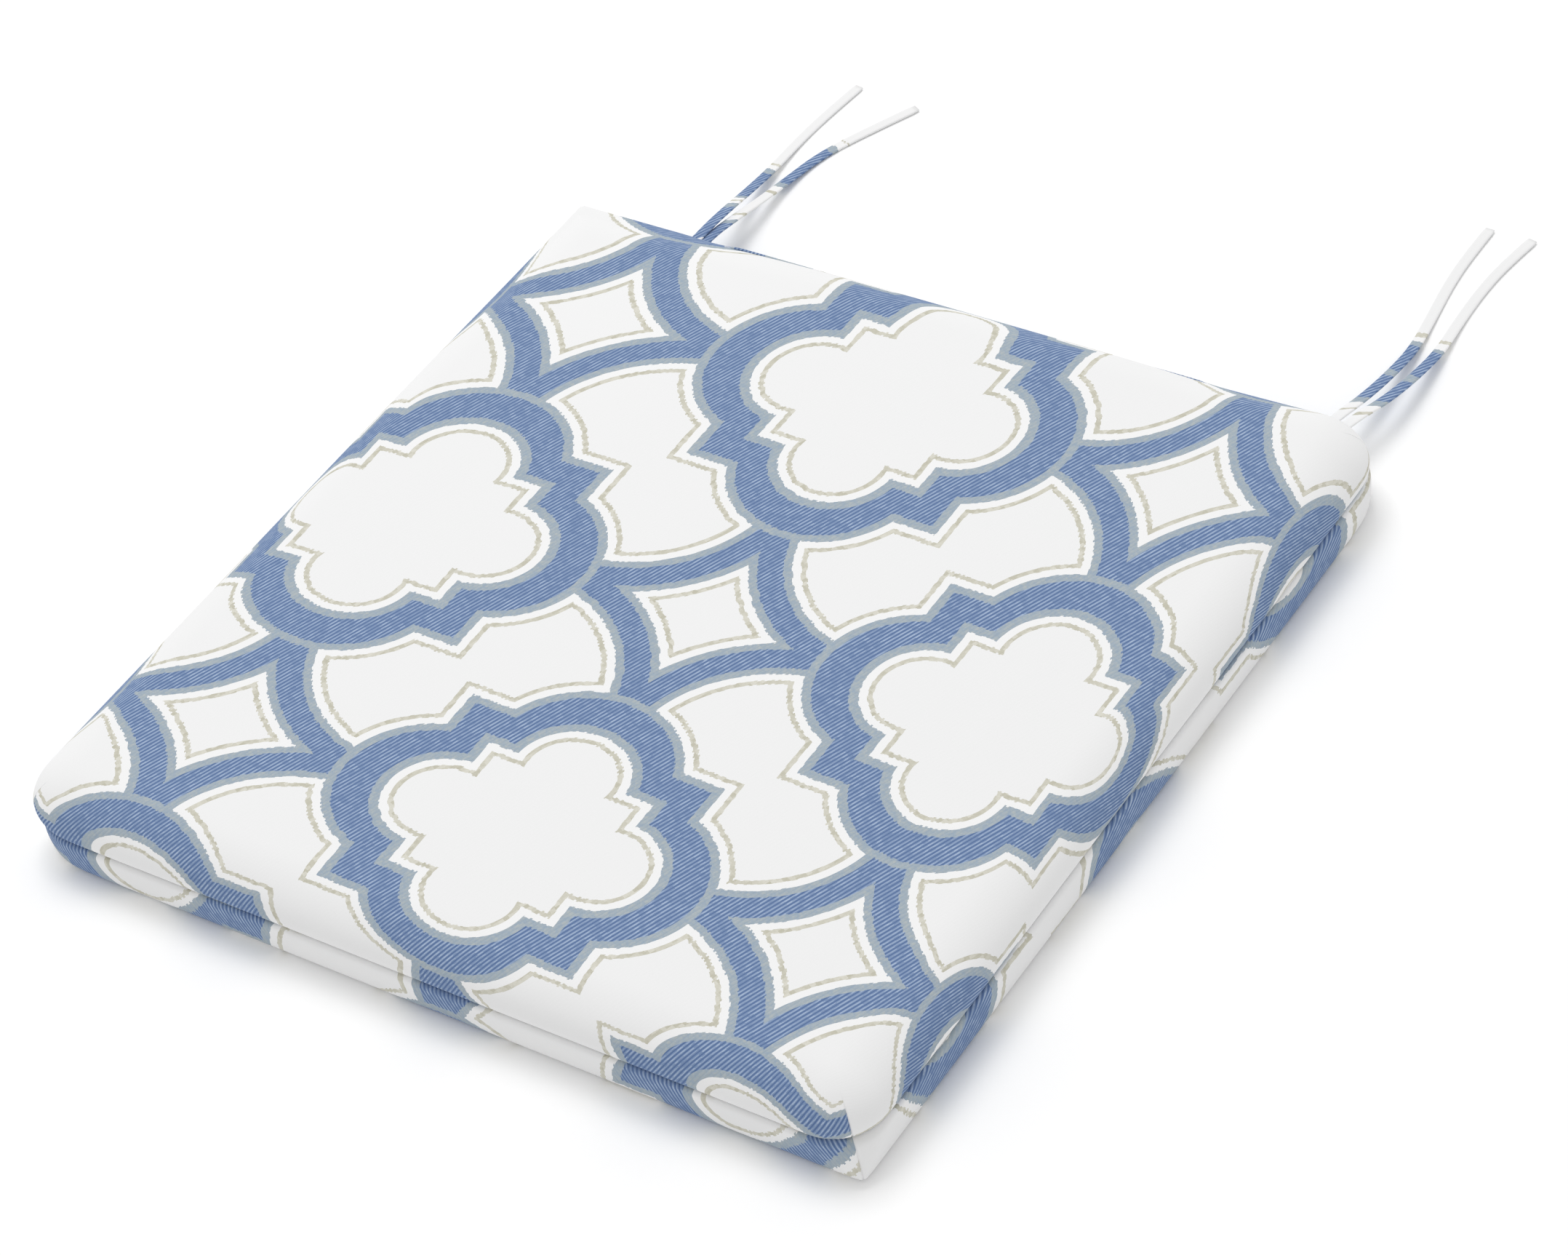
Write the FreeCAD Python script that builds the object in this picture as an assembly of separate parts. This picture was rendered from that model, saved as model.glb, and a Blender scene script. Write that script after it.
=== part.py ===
import FreeCAD, Part
import math
import os
from FreeCAD import Vector

# A square box-style chair seat pad: a fabric cover sewn from two dished panels round a foam core,
# with two pairs of flat fabric ties caught in the back seam and a zip in the same seam.
# Millimetres. Origin under the middle of the pad, +Y to the back, +Z up, +X to the right seen from the front.

# Driving dimensions of the pad
WIDTH = 400.0
DEPTH = 400.0
HEIGHT = 38.0
SEAM_Z = 18.5
CROWN = 3.0
CORNER_RADIUS = 20.0
TOP_EDGE_RADIUS = 12.0
BOTTOM_EDGE_RADIUS = 10.0

# Cover fabric, its seam allowance and the space left round the foam
FABRIC = 1.0
ALLOWANCE = 5.0
FOAM_GAP = 0.3
GROOVE_HALF_HEIGHT = 1.8
DART_FIN_DEPTH = 5.0
DART_FIN_HEIGHT = 9.0
THREAD = 0.4

# Ties: flat straps, folded and stitched
TIE_WIDTH = 5.0
TIE_THICKNESS = 1.0
TIE_FLOOR_Z = 0.8

# Zip, set in the back seam between the tie pairs
ZIP_OPENING = 244.0
ZIP_SLOT = 7.4
TAPE_LENGTH = 243.4
TAPE_HEIGHT = 7.0
TAPE_THICKNESS = 0.5
TAPE_BACK = DEPTH / 2 - 2.0
ZIP_GAP = 1.6
COIL_HEIGHT = 1.4
COIL_DEPTH = 1.5
COIL_LENGTH = 235.0
STOP_LENGTH = 2.0
HEM_HEIGHT = 4.8
SLIDER_REST_X = 112.0
SLIDER_LENGTH = 9.0
SLIDER_WIDTH = 6.6
SLIDER_PLATE = 1.0
SLIDER_LIP = 0.7
SLIDER_CLEARANCE = 0.3
WEB_THICKNESS = 0.8
WEB_LENGTH = 2.5
CROWN_BAR_LENGTH = 6.0
CROWN_BAR_WIDTH = 1.4
CROWN_BAR_THICKNESS = 0.7
TAB_LENGTH = 20.0
TAB_WIDTH = 3.8
TAB_THICKNESS = 0.7
TAB_WINDOW_WIDTH = 2.2
TAB_WINDOW_LENGTH = 4.6
TAB_PIN_RADIUS = 0.45

BACK = DEPTH / 2
BIG = 1000.0

# Tie routes: from inside the back seam, out over the edge, down to the ground and along it
TIE_ROUTES = {
    "tie_left_outer": [
        (-143.0, 195.0, SEAM_Z), (-143.0, 212.0, SEAM_Z), (-146.0, 232.0, 13.5), (-149.5, 253.0, 7.0),
        (-152.0, 274.0, 2.2), (-153.0, 296.0, TIE_FLOOR_Z), (-151.5, 318.0, TIE_FLOOR_Z),
        (-149.0, 339.0, TIE_FLOOR_Z),
    ],
    "tie_left_inner": [
        (-137.0, 195.0, SEAM_Z), (-137.0, 211.0, SEAM_Z), (-139.0, 230.0, 13.0), (-141.0, 250.0, 6.5),
        (-141.0, 271.0, 2.0), (-138.0, 291.0, TIE_FLOOR_Z), (-129.0, 311.0, TIE_FLOOR_Z),
        (-116.0, 335.0, TIE_FLOOR_Z),
    ],
    "tie_right_inner": [
        (166.0, 195.0, SEAM_Z), (166.0, 213.0, SEAM_Z), (170.5, 233.0, 13.5), (171.8, 253.0, 6.5),
        (170.5, 274.0, 2.0), (167.0, 296.0, TIE_FLOOR_Z), (164.0, 317.0, TIE_FLOOR_Z),
        (163.0, 336.0, TIE_FLOOR_Z), (163.5, 355.0, TIE_FLOOR_Z),
    ],
    "tie_right_outer": [
        (174.0, 195.0, SEAM_Z), (174.0, 213.0, SEAM_Z), (180.0, 234.0, 14.0), (182.5, 255.0, 7.5),
        (181.5, 276.0, 2.6), (179.0, 297.0, TIE_FLOOR_Z), (178.5, 318.0, TIE_FLOOR_Z),
        (180.0, 337.0, TIE_FLOOR_Z), (183.5, 355.0, TIE_FLOOR_Z),
    ],
}


def box(low, high):
    """A block between two opposite corners."""
    size = [b - a for a, b in zip(low, high)]
    return Part.makeBox(size[0], size[1], size[2], Vector(*low))


def upright_edges(shape):
    boxes = [(edge, edge.BoundBox) for edge in shape.Edges]
    return [edge for edge, b in boxes if b.ZLength > 0.1 and max(b.XLength, b.YLength) < 0.01]


def edges_at(shape, z_low, z_high):
    return [e for e in shape.Edges if e.BoundBox.ZMin > z_low and e.BoundBox.ZMax < z_high]


def plan_prism(inset, z_low, z_high):
    """The pad's plan outline, drawn in by an inset and raised between two heights."""
    x = WIDTH / 2 - inset
    y = DEPTH / 2 - inset
    prism = box((-x, -y, z_low), (x, y, z_high))
    return prism.makeFillet(CORNER_RADIUS - inset, upright_edges(prism))


def pad_body(inset):
    """The crowned, rounded body of the pad, drawn in evenly on every side by an inset."""
    prism = plan_prism(inset, inset, HEIGHT)
    dome_radius = (BACK ** 2 + CROWN ** 2) / (2 * CROWN)
    dome = Part.makeSphere(dome_radius - inset, Vector(0, 0, HEIGHT - dome_radius))
    body = prism.common(dome)
    top = edges_at(body, HEIGHT - 4 * CROWN - inset, BIG)
    body = body.makeFillet(TOP_EDGE_RADIUS - inset, top)
    bottom = edges_at(body, -BIG, inset + 0.01)
    return body.makeFillet(BOTTOM_EDGE_RADIUS - inset, bottom)


def half(shape, upper):
    """The part of a shape above or below the seam plane."""
    if upper:
        return shape.common(box((-BIG, -BIG, SEAM_Z), (BIG, BIG, BIG)))
    return shape.common(box((-BIG, -BIG, -BIG), (BIG, BIG, SEAM_Z)))


def corner_signs():
    return [(sx, sy) for sx in (-1, 1) for sy in (-1, 1)]


def on_diagonal(shape, sx, sy):
    """Turn a shape built along +X on the axis so that it runs out along one corner's diagonal."""
    turned = shape.copy()
    turned.rotate(Vector(0, 0, 0), Vector(0, 0, 1), math.degrees(math.atan2(sy, sx)))
    return turned


def corner_reach(inset):
    """Distance from the pad's axis to the rounded corner, along the diagonal."""
    return (WIDTH / 2 - CORNER_RADIUS) * math.sqrt(2) + CORNER_RADIUS - inset


def side_heights(upper, near, far):
    """A height range measured away from the seam, above it or below it."""
    if upper:
        return SEAM_Z + near, SEAM_Z + far
    return SEAM_Z - far, SEAM_Z - near


def dart_fins(upper, half_thickness, depth):
    """The sewn-in fins of cloth inside the four corners, above or below the seam."""
    z_low, z_high = side_heights(upper, FABRIC, DART_FIN_HEIGHT)
    fin = box((corner_reach(depth), -half_thickness, z_low), (corner_reach(-5.0), half_thickness, z_high))
    return [on_diagonal(fin, sx, sy) for sx, sy in corner_signs()]


def zip_hem(upper):
    """The doubled edge of the panel along the zip."""
    z_low, z_high = side_heights(upper, ZIP_SLOT / 2, ZIP_SLOT / 2 + HEM_HEIGHT)
    return box((-ZIP_OPENING / 2, TAPE_BACK, z_low), (ZIP_OPENING / 2, BACK, z_high))


def tie_pocket(route):
    """The place in the seam that a tie's root fills."""
    x, y, z = route[0]
    return box(
        (x - TIE_WIDTH / 2, y, z - TIE_THICKNESS / 2), (x + TIE_WIDTH / 2, BACK + 1.0, z + TIE_THICKNESS / 2)
    )


def cover_panel(upper):
    """One dished cover panel: skin, turned-in allowance, corner dart fins and hemmed zip edge."""
    cavity = half(pad_body(FABRIC), upper)
    cavity = cavity.cut(plan_prism(0, SEAM_Z - FABRIC, SEAM_Z + FABRIC))
    for fin in dart_fins(upper, FABRIC, DART_FIN_DEPTH):
        cavity = cavity.cut(fin)
    cavity = cavity.cut(zip_hem(upper))
    panel = half(pad_body(0), upper).cut(cavity)
    z_low, z_high = side_heights(upper, 0.0, FABRIC)
    panel = panel.cut(plan_prism(ALLOWANCE, z_low, z_high))
    z_low, z_high = side_heights(upper, 0.0, ZIP_SLOT / 2)
    panel = panel.cut(box((-ZIP_OPENING / 2, 190.0, z_low), (ZIP_OPENING / 2, BACK + 1.0, z_high)))
    for route in TIE_ROUTES.values():
        panel = panel.cut(tie_pocket(route))
    return panel


def foam_core():
    """The foam slab, grooved where the seam allowance, dart fins and zip press into it."""
    foam = pad_body(FABRIC + FOAM_GAP)
    groove = plan_prism(0, SEAM_Z - GROOVE_HALF_HEIGHT, SEAM_Z + GROOVE_HALF_HEIGHT)
    foam = foam.cut(groove.cut(plan_prism(ALLOWANCE + 2 * FOAM_GAP, 0, HEIGHT)))
    for upper in (True, False):
        for notch in dart_fins(upper, FABRIC + 3 * FOAM_GAP, DART_FIN_DEPTH + FOAM_GAP):
            foam = foam.cut(notch)
        z_low, z_high = side_heights(upper, 0.0, ZIP_SLOT / 2 + HEM_HEIGHT + 2 * FOAM_GAP)
        recess = box((-ZIP_OPENING / 2 - 2.0, TAPE_BACK - 2.4, z_low), (ZIP_OPENING / 2 + 2.0, BACK, z_high))
        foam = foam.cut(recess)
    return foam


def seam_thread():
    """The lockstitch round the pad: one strand on the upper allowance and one under the lower."""
    strands = []
    for upper in (True, False):
        z_low, z_high = side_heights(upper, FABRIC, FABRIC + THREAD)
        ring = plan_prism(2.4, z_low, z_high).cut(plan_prism(2.4 + THREAD, z_low, z_high))
        strands.append(ring.cut(box((-ZIP_OPENING / 2, 0.0, 0.0), (ZIP_OPENING / 2, BACK, HEIGHT))))
    for sx, sy in corner_signs():
        gap = box((corner_reach(8.0), -2.0, 0.0), (corner_reach(-5.0), 2.0, HEIGHT))
        strands = [strand.cut(on_diagonal(gap, sx, sy)) for strand in strands]
    return strands


def dart_thread():
    """The short seams that close the corner darts: a strand on each face of every fin."""
    strands = []
    for upper in (True, False):
        z_low, z_high = side_heights(upper, FABRIC + 1.0, DART_FIN_HEIGHT - 1.0)
        for side in (-1, 1):
            y_low, y_high = sorted((side * FABRIC, side * (FABRIC + THREAD)))
            strand = box((corner_reach(3.0), y_low, z_low), (corner_reach(3.0 - THREAD), y_high, z_high))
            strands += [on_diagonal(strand, sx, sy) for sx, sy in corner_signs()]
    return strands


def bartacks(names):
    """Dense cross stitching that anchors ties to both faces of the seam allowance."""
    tacks = []
    for name in names:
        x = TIE_ROUTES[name][0][0]
        for upper in (True, False):
            z_low, z_high = side_heights(upper, FABRIC, FABRIC + THREAD)
            tacks.append(box((x - 2.2, BACK - 4.6, z_low), (x + 2.2, BACK - 3.2, z_high)))
    return tacks


def rounded_route(points):
    """Straight runs joined by tangent arcs, each as large as its two runs allow."""
    corners = [Vector(*p) for p in points]
    edges = []
    start = corners[0]
    radii = []
    for before, here, after in zip(corners, corners[1:], corners[2:]):
        way_in = (here - before).normalize()
        way_out = (after - here).normalize()
        half_turn = way_in.getAngle(way_out) / 2
        setback = 0.45 * min((here - before).Length, (after - here).Length)
        radius = setback / math.tan(half_turn)
        radii.append(radius)
        arc_start = here - way_in * setback
        arc_end = here + way_out * setback
        towards_centre = (way_out - way_in).normalize()
        arc_middle = here + towards_centre * (radius / math.cos(half_turn) - radius)
        edges.append(Part.LineSegment(start, arc_start).toShape())
        edges.append(Part.Arc(arc_start, arc_middle, arc_end).toShape())
        start = arc_end
    edges.append(Part.LineSegment(start, corners[-1]).toShape())
    return Part.Wire(edges), radii


def strap(points):
    """A flat tie along its route, its width level at the root."""
    wire, radii = rounded_route(points)
    x, y, z = points[0]
    w = TIE_WIDTH / 2
    t = TIE_THICKNESS / 2
    outline = [(x - w, z - t), (x + w, z - t), (x + w, z + t), (x - w, z + t), (x - w, z - t)]
    sweep = Part.BRepOffsetAPI.MakePipeShell(wire)
    sweep.add(Part.makePolygon([Vector(px, y, pz) for px, pz in outline]))
    sweep.build()
    sweep.makeSolid()
    return sweep.shape(), wire.Length, radii


def zip_side(upper, near, far):
    return side_heights(upper, ZIP_GAP / 2 + near, ZIP_GAP / 2 + far)


def zip_tape(upper):
    z_low, z_high = zip_side(upper, 0.0, TAPE_HEIGHT)
    half_length = TAPE_LENGTH / 2
    return box((-half_length, TAPE_BACK - TAPE_THICKNESS, z_low), (half_length, TAPE_BACK, z_high))


def zip_coil(upper):
    z_low, z_high = zip_side(upper, 0.0, COIL_HEIGHT)
    return box((-COIL_LENGTH / 2, TAPE_BACK, z_low), (COIL_LENGTH / 2, TAPE_BACK + COIL_DEPTH, z_high))


def zip_thread():
    """The stitching that holds both tapes to the hems, on the tapes' inner faces."""
    face = TAPE_BACK - TAPE_THICKNESS
    reach = ZIP_OPENING / 2 - 2.0
    strands = []
    for upper in (True, False):
        z_low, z_high = side_heights(upper, 6.0, 6.0 + THREAD)
        strands.append(box((-reach, face - THREAD, z_low), (reach, face, z_high)))
    return strands


def top_stops():
    """A stop crimped on each coil at the end where the zip is closed."""
    stops = []
    for upper in (True, False):
        z_low, z_high = zip_side(upper, 0.0, COIL_HEIGHT)
        x = COIL_LENGTH / 2
        stops.append(box((x, TAPE_BACK, z_low), (x + STOP_LENGTH, TAPE_BACK + COIL_DEPTH, z_high)))
    return stops


def bottom_stop():
    """One stop across both coils at the end where the zip is open."""
    reach = ZIP_GAP / 2 + COIL_HEIGHT
    x = -COIL_LENGTH / 2
    return box((x - STOP_LENGTH, TAPE_BACK, SEAM_Z - reach), (x, TAPE_BACK + COIL_DEPTH, SEAM_Z + reach))


SLIDER_FACE = TAPE_BACK + COIL_DEPTH + SLIDER_CLEARANCE + SLIDER_PLATE
PIVOT_Y = SLIDER_FACE + 0.65


def slider_box(x_low, x_high, y_low, y_high, z_low, z_high):
    """A block given relative to the slider's middle in X and to the seam in Z."""
    low = (SLIDER_REST_X + x_low, y_low, SEAM_Z + z_low)
    high = (SLIDER_REST_X + x_high, y_high, SEAM_Z + z_high)
    return box(low, high)


def zip_slider():
    """Two plates that run outside and inside the coils, joined by a web between them."""
    x = SLIDER_LENGTH / 2
    z = SLIDER_WIDTH / 2
    under = SLIDER_FACE - SLIDER_PLATE
    inner = TAPE_BACK - TAPE_THICKNESS - SLIDER_CLEARANCE
    slider = slider_box(-x, x, under, SLIDER_FACE, -z, z)
    slider = slider.fuse(slider_box(-x, x, inner - SLIDER_PLATE, inner, -z, z))
    web = WEB_THICKNESS / 2
    slider = slider.fuse(slider_box(x - WEB_LENGTH, x, inner - SLIDER_PLATE, SLIDER_FACE, -web, web))
    for side in (-1, 1):
        z_low, z_high = sorted((side * (z - SLIDER_LIP), side * z))
        slider = slider.fuse(slider_box(-x, x, TAPE_BACK + 0.4, SLIDER_FACE, z_low, z_high))
    reach = CROWN_BAR_LENGTH / 2
    bar_under = PIVOT_Y + 0.65
    bar_top = bar_under + CROWN_BAR_THICKNESS
    half_bar = CROWN_BAR_WIDTH / 2
    slider = slider.fuse(slider_box(-reach, reach, bar_under, bar_top, -half_bar, half_bar))
    for side in (-1, 1):
        x_low, x_high = sorted((side * (reach - CROWN_BAR_THICKNESS), side * reach))
        slider = slider.fuse(slider_box(x_low, x_high, under, bar_top, -half_bar, half_bar))
    return slider.removeSplitter()


def zip_pull_tab():
    """A flat tab whose forked end carries a round pin under the slider's bar, lying along the zip."""
    t = TAB_THICKNESS / 2
    z = TAB_WIDTH / 2
    tab = slider_box(-TAB_LENGTH, 0.0, PIVOT_Y - t, PIVOT_Y + t, -z, z)
    window = TAB_WINDOW_WIDTH / 2
    tab = tab.cut(slider_box(-TAB_WINDOW_LENGTH, 1.0, PIVOT_Y - 1, PIVOT_Y + 1, -window, window))
    hole_middle = Vector(SLIDER_REST_X - TAB_LENGTH + 3.0, PIVOT_Y - 1, SEAM_Z)
    tab = tab.cut(Part.makeCylinder(1.0, 2.0, hole_middle, Vector(0, 1, 0)))
    pin_end = Vector(SLIDER_REST_X, PIVOT_Y, SEAM_Z - z)
    return tab.fuse(Part.makeCylinder(TAB_PIN_RADIUS, TAB_WIDTH, pin_end, Vector(0, 0, 1)))


def write_step(name, shapes):
    """Write one node: one solid, or several separate solids as a compound."""
    solids = [solid for shape in shapes for solid in shape.Solids]
    for solid in solids:
        if not solid.isValid():
            print("invalid solid in", name)
    node = solids[0] if len(solids) == 1 else Part.makeCompound(solids)
    node.exportStep("parts/" + name + ".step")
    print("%-20s solids %3d  volume %10.1f" % (name, len(solids), node.Volume))


def main():
    os.makedirs("parts", exist_ok=True)
    write_step("cover_top_panel", [cover_panel(True)])
    write_step("cover_bottom_panel", [cover_panel(False)])
    write_step("foam_core", [foam_core()])
    write_step("seam_thread", seam_thread())
    write_step("corner_dart_thread", dart_thread())
    for name, route in TIE_ROUTES.items():
        shape, length, radii = strap(route)
        write_step(name, [shape])
        share = shape.Volume / (TIE_WIDTH * TIE_THICKNESS * length)
        print("  length %.1f, volume share %.3f, radii %s" % (length, share, [round(r) for r in radii]))
    write_step("tie_bartacks_left", bartacks(["tie_left_outer", "tie_left_inner"]))
    write_step("tie_bartacks_right", bartacks(["tie_right_inner", "tie_right_outer"]))
    write_step("zip_tape_upper", [zip_tape(True)])
    write_step("zip_tape_lower", [zip_tape(False)])
    write_step("zip_coil_upper", [zip_coil(True)])
    write_step("zip_coil_lower", [zip_coil(False)])
    write_step("zip_thread", zip_thread())
    write_step("zip_top_stops", top_stops())
    write_step("zip_bottom_stop", [bottom_stop()])
    write_step("zip_slider", [zip_slider()])
    write_step("zip_pull_tab", [zip_pull_tab()])


main()
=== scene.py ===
import math

import bpy
import numpy as np
from mathutils import Matrix, Vector


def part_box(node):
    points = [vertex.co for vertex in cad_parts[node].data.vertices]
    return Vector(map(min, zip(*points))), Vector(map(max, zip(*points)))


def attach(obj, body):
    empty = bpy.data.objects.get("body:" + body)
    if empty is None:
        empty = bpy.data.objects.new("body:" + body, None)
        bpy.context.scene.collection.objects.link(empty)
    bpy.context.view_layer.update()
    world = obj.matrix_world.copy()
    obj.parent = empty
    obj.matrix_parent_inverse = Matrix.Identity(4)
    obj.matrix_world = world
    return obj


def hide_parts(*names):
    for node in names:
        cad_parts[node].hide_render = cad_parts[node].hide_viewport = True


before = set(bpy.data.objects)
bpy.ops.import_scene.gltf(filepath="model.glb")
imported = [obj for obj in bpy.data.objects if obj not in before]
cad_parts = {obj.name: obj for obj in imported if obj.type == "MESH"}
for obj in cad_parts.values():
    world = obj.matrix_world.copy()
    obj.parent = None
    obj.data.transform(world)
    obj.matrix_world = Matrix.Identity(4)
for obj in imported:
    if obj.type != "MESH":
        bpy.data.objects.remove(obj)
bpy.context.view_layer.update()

# A square box-style chair seat pad: two dished, printed cover panels round a foam slab, with two
# pairs of narrow fabric ties caught in the back seam and a zip between them. Metres, unless a name
# ends in _MM; the cover's panels are worked out in millimetres and scaled on the way into a mesh.

MM = 0.001

# -------------------- camera

# Fitted to the pad's edges and the print in the photograph
CAMERA_AZIMUTH = 42.283
CAMERA_ELEVATION = 42.638
CAMERA_ROLL = -13.164
CAMERA_DISTANCE = 1.89607
CAMERA_AIM = Vector((0.02805, 0.01461, 0.0185))
CAMERA_LENS = 109.98
CAMERA_SENSOR = 36.0


def make_camera():
    a, e, r = (math.radians(v) for v in (CAMERA_AZIMUTH, CAMERA_ELEVATION, CAMERA_ROLL))
    back = Vector((math.sin(a) * math.cos(e), -math.cos(a) * math.cos(e), math.sin(e)))
    level = Vector((math.cos(a), math.sin(a), 0.0))
    upright = back.cross(level)
    right = level * math.cos(r) + upright * math.sin(r)
    up = back.cross(right)
    data = bpy.data.cameras.new("camera")
    data.lens = CAMERA_LENS
    data.sensor_fit = "HORIZONTAL"
    data.sensor_width = CAMERA_SENSOR
    data.clip_start, data.clip_end = 0.05, 30.0
    camera = bpy.data.objects.new("camera", data)
    axes = Matrix((right, up, back)).transposed().to_4x4()
    camera.matrix_world = Matrix.Translation(CAMERA_AIM + back * CAMERA_DISTANCE) @ axes
    bpy.context.scene.collection.objects.link(camera)
    bpy.context.scene.camera = camera


make_camera()

# -------------------- node graph helpers


class Field:
    """A number that varies over a surface: a node output that ordinary arithmetic works on."""

    def __init__(self, tree, socket):
        self.tree = tree
        self.socket = socket

    def math(self, operation, *others):
        node = self.tree.nodes.new("ShaderNodeMath")
        node.operation = operation
        for slot, value in zip(node.inputs, (self, *others)):
            feed(self.tree, slot, value)
        return Field(self.tree, node.outputs[0])

    def constant(self, value):
        node = self.tree.nodes.new("ShaderNodeMath")
        node.operation = "ADD"
        node.inputs[0].default_value = value
        node.inputs[1].default_value = 0.0
        return Field(self.tree, node.outputs[0])

    def __add__(self, other):
        return self.math("ADD", other)

    __radd__ = __add__

    def __sub__(self, other):
        return self.math("SUBTRACT", other)

    def __rsub__(self, other):
        return self.math("MULTIPLY", -1.0).math("ADD", other)

    def __mul__(self, other):
        return self.math("MULTIPLY", other)

    __rmul__ = __mul__

    def __truediv__(self, other):
        return self.math("DIVIDE", other)

    def __abs__(self):
        return self.math("ABSOLUTE")

    def low(self, other):
        return self.math("MINIMUM", other)

    def high(self, other):
        return self.math("MAXIMUM", other)

    def floor(self):
        return self.math("FLOOR")

    def below(self, other):
        return self.math("LESS_THAN", other)

    def above(self, other):
        return self.math("GREATER_THAN", other)

    def wave(self, period):
        """A cosine from 0 to 1 of that period."""
        return (self * (2 * math.pi / period)).math("COSINE") * 0.5 + 0.5


def feed(tree, slot, value):
    """Gives a node's input a field, another node's output, a colour as hex text, or a number."""
    if isinstance(value, Field):
        tree.links.new(value.socket, slot)
    elif isinstance(value, bpy.types.NodeSocket):
        tree.links.new(value, slot)
    else:
        slot.default_value = srgb(value) if isinstance(value, str) else value


def length(x, y):
    return (x * x + y * y).math("SQRT")


def vector(x, y, z=0.0):
    node = x.tree.nodes.new("ShaderNodeCombineXYZ")
    for slot, value in zip(node.inputs, (x, y, z)):
        feed(x.tree, slot, value)
    return node.outputs[0]


def random_value(x, y, z=0.0):
    """White noise from 0 to 1 that is the same for equal inputs."""
    node = x.tree.nodes.new("ShaderNodeTexWhiteNoise")
    node.noise_dimensions = "3D"
    x.tree.links.new(vector(x, y, z), node.inputs["Vector"])
    return Field(x.tree, node.outputs["Value"])


def noise(x, y, scale, detail=2.0, seed=0.0):
    """Smooth noise from 0 to 1, of that many lumps to a millimetre."""
    node = x.tree.nodes.new("ShaderNodeTexNoise")
    node.noise_dimensions = "3D"
    x.tree.links.new(vector(x, y, seed), node.inputs["Vector"])
    node.inputs["Scale"].default_value = scale
    node.inputs["Detail"].default_value = detail
    return Field(x.tree, node.outputs["Fac"])


def srgb(text):
    """A colour written as six hex digits, in linear light."""
    parts = [int(text[k:k + 2], 16) / 255 for k in (0, 2, 4)]
    return tuple(c / 12.92 if c <= 0.04045 else ((c + 0.055) / 1.055) ** 2.4 for c in parts) + (1.0,)


def mix(tree, share, first, second):
    """A colour between two, each given as hex text or as a node output."""
    node = tree.nodes.new("ShaderNodeMix")
    node.data_type = "RGBA"
    feed(tree, node.inputs["Factor"], share)
    feed(tree, node.inputs[6], first)
    feed(tree, node.inputs[7], second)
    return node.outputs[2]


def new_material(name):
    material = bpy.data.materials.new(name)
    material.use_nodes = True
    tree = material.node_tree
    return material, tree, tree.nodes["Principled BSDF"]


def uv_fields(tree):
    """Place on the flat cut, in millimetres."""
    node = tree.nodes.new("ShaderNodeUVMap")
    node.uv_map = "cut"
    split = tree.nodes.new("ShaderNodeSeparateXYZ")
    tree.links.new(node.outputs["UV"], split.inputs[0])
    return Field(tree, split.outputs[0]), Field(tree, split.outputs[1])


def object_fields(tree):
    """Position on the resting object, in millimetres."""
    node = tree.nodes.new("ShaderNodeTexCoord")
    split = tree.nodes.new("ShaderNodeSeparateXYZ")
    tree.links.new(node.outputs["Object"], split.inputs[0])
    return [Field(tree, s) * 1000.0 for s in split.outputs]


def bump(tree, shader, height, distance, strength=1.0):
    node = tree.nodes.new("ShaderNodeBump")
    node.inputs["Distance"].default_value = distance
    node.inputs["Strength"].default_value = strength
    feed(tree, node.inputs["Height"], height)
    tree.links.new(node.outputs["Normal"], shader.inputs["Normal"])


# -------------------- the printed fabric

# The pattern repeats on a lattice of these steps across and along the cloth. Diamonds stand where
# the two lattice numbers add up to an even one, and quatrefoils where they add up to an odd one.
# In the photograph the print is out of square and stretched, so the lattice numbers are cubic
# polynomials of the place on the cut in units of PRINT_UNIT_MM, over the flat of the face, and run on
# at a steady rate round the turned-down edges. Each row is a power of a, a power of b, and what it
# adds to the number across and to the number along. The coefficients are rounded from a least-squares
# fit made by a scratch script; they also take up errors of the fitted camera.
PRINT_UNIT_MM = 200.0
PRINT_TERMS = (
    (0, 0, -0.065, 0.0665), (1, 0, 1.387, 0.027), (0, 1, 0.0045, 1.515),
    (2, 0, 0.076, 0.003), (1, 1, 0.0, -0.014), (0, 2, 0.004, -0.105),
    (3, 0, 0.006, -0.029), (2, 1, 0.005, -0.026), (1, 2, 0.001, 0.003), (0, 3, -0.004, -0.0095),
)
PRINT_FLAT_MM = 179.0

# Lattice steps to a millimetre beyond the flat: across at the sides, and along at the back. At the
# front it depends on the panel, grows towards the right, and differs past the near right corner.
EDGE_RATE_ACROSS, EDGE_RATE_BACK = 0.0080, 0.0058
FRONT_RATE = {True: 0.00725, False: 0.00775}
FRONT_RATE_GROWTH = 2.8e-6
CORNER_RATE = {True: 0.0100, False: 0.0070}

# How far the print lags or runs ahead where the cloth is stretched, in lattice steps
FRONT_BOW = 0.063
RIGHT_BOW, RIGHT_BOW_SLOPE = 0.08, 0.05
BACK_LAG = 0.035
FAR_CORNER_LAG = 0.03
FLANK_LAG = 0.02
NEAR_CORNER_LAG, NEAR_CORNER_RISE = 0.06, 0.03

# Twill lines on the cloth
TWILL_ANGLE = math.radians(66)
TWILL_PITCH_MM = 1.75
THREAD_MM = 0.875
RAGGED_MM = 1.0

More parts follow.
